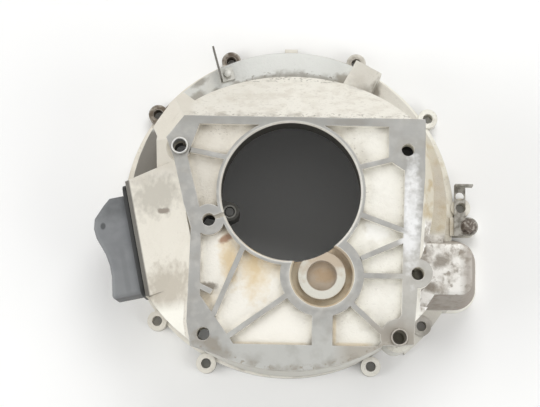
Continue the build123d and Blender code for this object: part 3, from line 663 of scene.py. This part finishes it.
def boot_body(edge):
    """Humped body: a block cut across where the hump bends, its outer side moved to the hump's line."""
    rise = ((-48, 20), (-42, 27), (-30, 38.5), (-20, 41))
    fall = ((-10, 40), (8, 33.5), (20, 31.5), (32, 31.5), (55, 35))
    hump = rise + fall
    length = hump[-1][0] - hump[0][0]
    middle = (hump[-1][0] + hump[0][0]) / 2
    inner_end, outer_end = -8, 20
    height = 44
    wall = 3.2
    shape = bmesh.new()
    centre = Vector((middle, (inner_end + outer_end) / 2, 0))
    block = Matrix.Diagonal((length * MM, (outer_end - inner_end) * MM, height * MM, 1))
    bmesh.ops.create_cube(shape, size=1, matrix=Matrix.Translation(centre * MM) @ block)
    for cut, _ in hump[1:-1]:
        everything = shape.verts[:] + shape.edges[:] + shape.faces[:]
        bmesh.ops.bisect_plane(shape, geom=everything, plane_co=(cut * MM, 0, 0), plane_no=(1, 0, 0))
    reach = {round(place_along): out_by for place_along, out_by in hump}
    for vert in shape.verts:
        if vert.co.y > 0:
            vert.co.y = reach[round(vert.co.x / MM)] * MM
    back = [face for face in shape.faces if face.calc_center_median().y < (inner_end + 0.1) * MM]
    bmesh.ops.delete(shape, geom=back, context="FACES")
    inner = [item for item in shape.edges if not item.is_boundary]
    sharp = [item for item in inner if item.calc_face_angle(0) > math.radians(50)]
    rounded(shape, sharp, edge, 4)
    bmesh.ops.recalc_face_normals(shape, faces=shape.faces)
    bmesh.ops.solidify(shape, geom=shape.faces[:], thickness=wall * MM)
    return shape


def boot_lip():
    """Lip: a rounded plate with the body's opening through it."""
    length, thickness, height = 116, 4.5, 58
    corner, border, rim = 12, 7, 1.0
    plate = bmesh.new()
    scale = Matrix.Diagonal((length * MM, thickness * MM, height * MM, 1))
    flat = Matrix.Translation(Vector((0, thickness / 2, 0)) * MM) @ scale
    bmesh.ops.create_cube(plate, size=1, matrix=flat)
    corners = [item for item in plate.edges if abs(item.verts[0].co.y - item.verts[1].co.y) > MM]
    rounded(plate, corners, corner * MM, 6)
    sides = [face for face in plate.faces if abs(face.normal.y) > 0.9]
    bmesh.ops.inset_individual(plate, faces=sides, thickness=border * MM)
    middles = [face for face in plate.faces if abs(face.normal.y) > 0.9 and len(face.verts) > 4]
    bmesh.ops.delete(plate, geom=middles, context="FACES_ONLY")
    open_edges = [item for item in plate.edges if item.is_boundary]
    bmesh.ops.bridge_loops(plate, edges=open_edges)
    rims = [item for item in plate.edges if item.calc_face_angle(0) > math.radians(60)]
    rounded(plate, rims, rim * MM, 2)
    return plate


class BELL_OT_boot(bpy.types.Operator):
    """Make the rubber boot over the fork window"""

    bl_idname = "bell.boot"
    bl_label = "Rubber Boot"

    def execute(self, context):
        material = boot_rubber(context.scene.bell_fittings)
        # Body and lip are made at the origin, X along the window and Y out of it, and then put in place
        shape = boot_body(context.scene.bell_sizes.boot_edge)
        plate = boot_lip()
        lip_mesh = bpy.data.meshes.new("lip")
        plate.to_mesh(lip_mesh)
        plate.free()
        shape.from_mesh(lip_mesh)
        bpy.data.meshes.remove(lip_mesh)
        turn = Matrix((WINDOW_ALONG, WINDOW_OUT, (0, 0, 1))).transposed().to_4x4()
        bmesh.ops.transform(shape, matrix=Matrix.Translation(WINDOW_CENTRE * MM) @ turn, verts=shape.verts)
        make_piece(shape, "rubber_boot", material, "moulded_rubber", "fork_boot")
        return {"FINISHED"}


class BELL_OT_stud_and_dowels(bpy.types.Operator):
    """Make the fork's pivot stud and the two hollow dowels"""

    bl_idname = "bell.stud_and_dowels"
    bl_label = "Stud and Dowels"

    def execute(self, context):
        colours = context.scene.bell_fittings
        sizes = context.scene.bell_sizes
        # Hardened and ground steel, handled: bright with a greasy brown film, black oil on the stud
        material, tree, output = new_material("ground_hardened_steel")
        _, _, y, z = in_millimetres(tree)
        film = clouds(tree, 5, 0.45, 0.65)
        oily = between(tree, z, 0, BORE_BOTTOM + 2)
        dull_dowel = between(tree, y, -160, -110)
        colour = laid_over(
            tree,
            tuple(colours.steel),
            [
                (all_of(tree, film, 0.35), "A09A8E"),
                (all_of(tree, dull_dowel, 0.85), "A7A197"),
                (all_of(tree, oily, 0.9), "2E2D2A"),
            ],
        )
        rough = add_node(tree, "ShaderNodeMapRange", {0: film, 3: 0.28, 4: 0.5}).outputs[0]
        scratches = clouds(tree, 0.6, 0.3, 0.7, detail=2)
        surface(tree, output, colour, rough, 0.8, scratches, depth=0.02, round_edge=0.3)

        # Stud: a domed shank and a hexagon under the lug, and a thread up through it; they lap by 0.2 mm
        shank_radius = 6.5
        thread_root, thread_crest = 4.2, 4.85
        hex_height = 6
        lap = 0.2
        hex_bottom = LUG_BOTTOM - hex_height
        shank_bottom = hex_bottom - 8
        shape = bmesh.new()
        angles = [step * math.pi / 12 for step in range(7)]
        dome = [(shank_radius * math.sin(angle), shank_bottom - 2.7 * math.cos(angle)) for angle in angles]
        turned(shape, [*dome, (shank_radius, hex_bottom + lap), (0, hex_bottom + lap)], STUD_CENTRE)
        hexagon(shape, STUD_CENTRE, 17, hex_bottom, hex_height, sizes.head_chamfer / MM)
        pitch = sizes.thread_pitch / MM
        thread_top = BORE_BOTTOM - 1
        ridges = []
        height = LUG_BOTTOM - lap
        while height + pitch < thread_top - 0.5:
            ridges += [(thread_root, height), (thread_crest, height + pitch / 2)]
            height += pitch
        thread = [(0, LUG_BOTTOM - lap), *ridges, (thread_root, thread_top), (0, thread_top)]
        turned(shape, thread, STUD_CENTRE)
        make_piece(shape, "pivot_stud", material, "hardened_steel", "pivot_ball_stud")

        # Dowels: the section of a tube with its edges broken, as radius and height
        tube = [(6.5, 156.6), (8.0, 156.1), (8.45, 157), (8.45, 168), (7.9, 169), (7.0, 169), (6.5, 168.4)]
        shape = bmesh.new()
        for centre in DOWEL_CENTRES:
            turned(shape, tube, centre)
        make_piece(shape, "hollow_dowels", material, "hardened_steel", "face_dowels")
        return {"FINISHED"}


class BELL_OT_clip(bpy.types.Operator):
    """Finish the harness clip, its screw and the strap with its rusty bolt"""

    bl_idname = "bell.clip_and_strap"
    bl_label = "Clip and Strap"

    def execute(self, context):
        colours = context.scene.bell_fittings
        chamfer = context.scene.bell_sizes.head_chamfer / MM
        # Zinc-plated sheet steel gone dull: grey with brown dirt, paler on the clip's foot, dark on its strip
        sheet, tree, output = new_material("dull_zinc_sheet_steel")
        _, x, _, z = in_millimetres(tree)
        dirt = clouds(tree, 5, 0.42, 0.62, detail=5)
        screw_low, screw_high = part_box("clip_screw")
        on_roof = between(tree, z, ROOF_HEIGHT - 1, 120)
        above_foot = between(tree, z, ROOF_HEIGHT + 2.3, 120)
        strip = all_of(tree, above_foot, between(tree, x, -140, screw_low[0] / MM))
        colour = laid_over(
            tree,
            tuple(colours.sheet),
            [
                (all_of(tree, dirt, 0.7), "6F6A62"),
                (all_of(tree, on_roof, 0.85), "D0CFC8"),
                (all_of(tree, strip, 0.9), "55524C"),
            ],
        )
        rough = add_node(tree, "ShaderNodeMapRange", {0: dirt, 3: 0.42, 4: 0.75}).outputs[0]
        surface(tree, output, colour, rough, 0.4, dirt, depth=0.06, round_edge=0.4)
        for name in ("strap_bracket", "harness_clip"):
            NODES[name].data.materials.clear()
            NODES[name].data.materials.append(sheet)

        # Steel bolt, rusted: matt brown with lighter flakes of old plating
        rusty, tree, output = new_material("rusted_steel_bolt")
        flakes = clouds(tree, 4, 0.50, 0.62, detail=5)
        spots = clouds(tree, 1.6, 0.50, 0.64)
        coats = [(all_of(tree, flakes, 0.75), "BBB6AE"), (all_of(tree, spots, 0.45), "463C34")]
        colour = laid_over(tree, tuple(colours.rust), coats)
        surface(tree, output, colour, 0.8, 0.0, spots, depth=0.12, round_edge=0.4)
        low, high = STRAP_TOP, STRAP_TOP + 1.5
        shape = bmesh.new()
        washer = [(0, low), (8.3, low), (8.5, low + 0.3), (8.5, high - 0.3), (8.1, high), (0, high)]
        turned(shape, washer, STRAP_BOLT_CENTRE)
        hexagon(shape, STRAP_BOLT_CENTRE, 13, high, 6, chamfer)
        shank = [(0, 4.2), (3.6, 4.2), (4.05, 5), (4.05, low + 0.1), (0, low + 0.1)]
        turned(shape, shank, STRAP_BOLT_CENTRE)
        make_piece(shape, "rusty_strap_bolt", rusty, "rusty_steel", "strap_bolt")

        # The clip's screw, a small zinc-plated hexagon on a pressed flange
        centre = ((screw_low[0] + screw_high[0]) / 2 / MM, (screw_low[1] + screw_high[1]) / 2 / MM)
        tip = screw_low[2] / MM
        seat = screw_high[2] / MM - 3
        flange_top = seat + 0.9
        flange = [(0, seat), (4.5, seat), (4.5, seat + 0.5), (3.9, flange_top), (0, flange_top)]
        shape = bmesh.new()
        turned(shape, flange, centre, 28)
        hexagon(shape, centre, 7, flange_top, 2.1, 0.4)
        turned(shape, [(0, tip), (2.2, tip), (2.45, tip + 0.5), (2.45, seat), (0, seat)], centre, 24)
        make_piece(shape, "small_clip_screw", sheet, "zinc_steel", "clip_screw")
        return {"FINISHED"}


def aim_camera(scene):
    """Camera: looks along the azimuth and elevation of the settings, and is rolled a little."""
    settings = scene.bell_camera
    az, el, roll = settings.azimuth, settings.elevation, settings.roll
    back = Vector((math.sin(az) * math.cos(el), -math.cos(az) * math.cos(el), math.sin(el)))
    right = Vector((0, 1, 0)).cross(back).normalized()
    up = back.cross(right)
    turned_right = right * math.cos(roll) + up * math.sin(roll)
    turned_up = up * math.cos(roll) - right * math.sin(roll)
    data = bpy.data.cameras.new("picture_camera")
    data.lens = settings.lens
    data.sensor_width = 36
    data.clip_end = 20
    camera = bpy.data.objects.new("picture_camera", data)
    camera.matrix_world = Matrix((turned_right, turned_up, back)).transposed().to_4x4()
    camera.location = settings.place
    scene.collection.objects.link(camera)
    scene.camera = camera


def light_sky(scene):
    """Sky: the parts are lit by a dimmer one than the white one that camera and reflections see."""
    world = bpy.data.worlds.new("soft_light")
    world.use_nodes = True
    tree = world.node_tree
    tree.nodes.clear()
    path = add_node(tree, "ShaderNodeLightPath")
    dim = add_node(tree, "ShaderNodeBackground", {"Color": linear("FFFFFF"), "Strength": 0.4})
    white = add_node(tree, "ShaderNodeBackground", {"Color": linear("FFFFFF"), "Strength": 1.0})
    seen = any_of(tree, path.outputs["Is Camera Ray"], path.outputs["Is Glossy Ray"])
    mix = add_node(tree, "ShaderNodeMixShader", {0: seen, 1: dim.outputs[0], 2: white.outputs[0]})
    add_node(tree, "ShaderNodeOutputWorld", {"Surface": mix.outputs[0]})
    scene.world = world


def lay_floor(scene):
    """Floor: matt white board, wide enough for every view."""
    mesh = bpy.data.meshes.new("floor")
    shape = bmesh.new()
    bmesh.ops.create_grid(shape, x_segments=1, y_segments=1, size=4.0)
    shape.to_mesh(mesh)
    shape.free()
    floor = bpy.data.objects.new("floor", mesh)
    scene.collection.objects.link(floor)
    material, tree, output = new_material("matt_white_board")
    inputs = {"Base Color": linear("FBFBFA"), "Roughness": 0.9}
    shader = add_node(tree, "ShaderNodeBsdfPrincipled", inputs)
    tree.links.new(shader.outputs[0], output.inputs[0])
    mesh.materials.append(material)


def place_lamps(scene):
    """Lamps: the key light stands beyond the top and the others low, so that the bore stays dark."""
    for name, place, power in (
        ("key_light", (0.3, 1.4, 1.4), 18),
        ("left_light", (-1.6, -0.4, 1.1), 16),
        ("right_light", (1.5, -0.8, 1.1), 13),
    ):
        light = bpy.data.lights.new(name, "AREA")
        light.shape = "SQUARE"
        light.size = 1.2
        light.energy = power
        lamp = bpy.data.objects.new(name, light)
        lamp.location = place
        lamp.rotation_euler = Vector(place).to_track_quat("Z", "Y").to_euler()
        scene.collection.objects.link(lamp)


class BELL_OT_stage(bpy.types.Operator):
    """Set the floor, the lights and the camera"""

    bl_idname = "bell.stage"
    bl_label = "Stage"

    def execute(self, context):
        scene = context.scene
        scene.view_settings.view_transform = "Standard"
        for step in (aim_camera, light_sky, lay_floor, place_lamps):
            step(scene)
        return {"FINISHED"}


class BELL_PT_looks(bpy.types.Panel):
    """Lists the steps that dress the bellhousing, and their settings"""

    bl_idname = "BELL_PT_looks"
    bl_label = "Bellhousing"
    bl_space_type = "VIEW_3D"
    bl_region_type = "UI"
    bl_category = "Bellhousing"

    def draw(self, context):
        scene = context.scene
        for step in STEPS:
            self.layout.operator(step.bl_idname)
        for settings in (scene.bell_cast, scene.bell_fittings, scene.bell_sizes, scene.bell_camera):
            for name in settings.__annotations__:
                self.layout.prop(settings, name)


STEPS = (BELL_OT_housing, BELL_OT_boot, BELL_OT_stud_and_dowels, BELL_OT_clip, BELL_OT_stage)
SETTINGS = {
    "bell_cast": CastColours,
    "bell_fittings": FittingColours,
    "bell_sizes": FittingSizes,
    "bell_camera": CameraSettings,
}


def register():
    for cls in (*SETTINGS.values(), *STEPS, BELL_PT_looks):
        bpy.utils.register_class(cls)
    for name, group in SETTINGS.items():
        setattr(bpy.types.Scene, name, bpy.props.PointerProperty(type=group))


def unregister():
    for name in SETTINGS:
        delattr(bpy.types.Scene, name)
    for cls in reversed((*SETTINGS.values(), *STEPS, BELL_PT_looks)):
        bpy.utils.unregister_class(cls)


def main():
    register()
    bpy.ops.bell.housing()
    bpy.ops.bell.boot()
    bpy.ops.bell.stud_and_dowels()
    bpy.ops.bell.clip_and_strap()
    bpy.ops.bell.stage()


if __name__ == "__main__":
    main()
